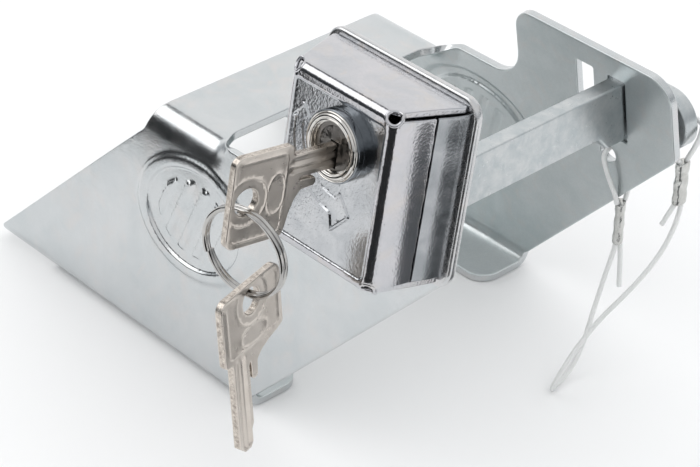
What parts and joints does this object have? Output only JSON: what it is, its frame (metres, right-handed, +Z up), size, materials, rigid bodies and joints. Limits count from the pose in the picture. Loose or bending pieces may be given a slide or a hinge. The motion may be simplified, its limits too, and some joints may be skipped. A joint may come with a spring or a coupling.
{
  "type": "trailer coupler lock",
  "caption": "Trailer coupler lock: a folded steel case, a sliding locking bar through both cheeks, a lock box with a key cylinder, keys on a split ring and a cable lanyard.",
  "frame": {"origin": "on the plane the lips stand on, midway between the cheeks and at the middle of the case's length", "axes": "+X along the case from its pointed end to the horns, +Y across to the cheek with the bent end of the bar, +Z up from the lips to the roof"},
  "size_m": [0.1755, 0.153, 0.12],
  "materials": {
    "zinc_sheet": "zinc plated sheet, light and slightly blue",
    "zinc_bar": "zinc plated bar, satin",
    "zinc_box": "bright zinc plating, glossy with soft waves",
    "nickel": "polished nickel plating",
    "nickel_plug": "dark polished nickel plating",
    "dull_steel": "plain zinc plated steel",
    "brass_wafer": "stamped brass",
    "key_metal": "nickel silver, warm and satin",
    "bright_wire": "bright steel wire",
    "crimp_metal": "pressed metal sleeve",
    "coated_cable": "clear coat over twisted steel wire"
  },
  "bodies": {
    "case": {"case": "zinc_sheet", "case_loop": "coated_cable", "case_ferrule": "crimp_metal", "lanyard_run": "coated_cable"},
    "bar": {"locking_bar": "zinc_bar", "bar_loop": "coated_cable", "bar_ferrule": "crimp_metal"},
    "box": {"box_tray": "zinc_box", "box_cover": "zinc_box", "cylinder_housing": "nickel", "bezel_ring": "nickel", "cylinder_nut": "dull_steel", "tooth_washer": "dull_steel"},
    "core": {"plug": "nickel_plug", "wafers": "brass_wafer", "wafer_springs": "dull_steel", "retaining_clip": "dull_steel", "cam": "dull_steel", "cam_washer": "dull_steel", "cam_nut": "dull_steel"},
    "key": {"key": "key_metal"},
    "ring": {"key_ring": "bright_wire"},
    "spare": {"spare_key": "key_metal"}
  },
  "joints": [
    {"name": "bar_slide", "type": "slide", "parent": "case", "child": "bar", "axis": [0, 1, 0], "range_m": [0, 0.1]},
    {"name": "box_slide", "type": "slide", "parent": "case", "child": "box", "axis": [0, -1, 0], "range_m": [0, 0.03]},
    {"name": "key_turn", "type": "hinge", "parent": "box", "child": "core", "pos_m": [0.0665, -0.03706, 0.10151], "axis": [0, -0.9863, 0.165], "range_deg": [0, 90]},
    {"name": "key_pull", "type": "slide", "parent": "core", "child": "key", "axis": [0, -0.9863, 0.165], "range_m": [0, 0.03]},
    {"name": "ring_swing", "type": "hinge", "parent": "key", "child": "ring", "pos_m": [0.0665, -0.08897, 0.10213], "axis": [1, 0, 0], "range_deg": [-12, 12]},
    {"name": "spare_swing", "type": "hinge", "parent": "ring", "child": "spare", "pos_m": [0.067, -0.08817, 0.07473], "axis": [1, 0, 0], "range_deg": [-12, 12]}
  ]
}
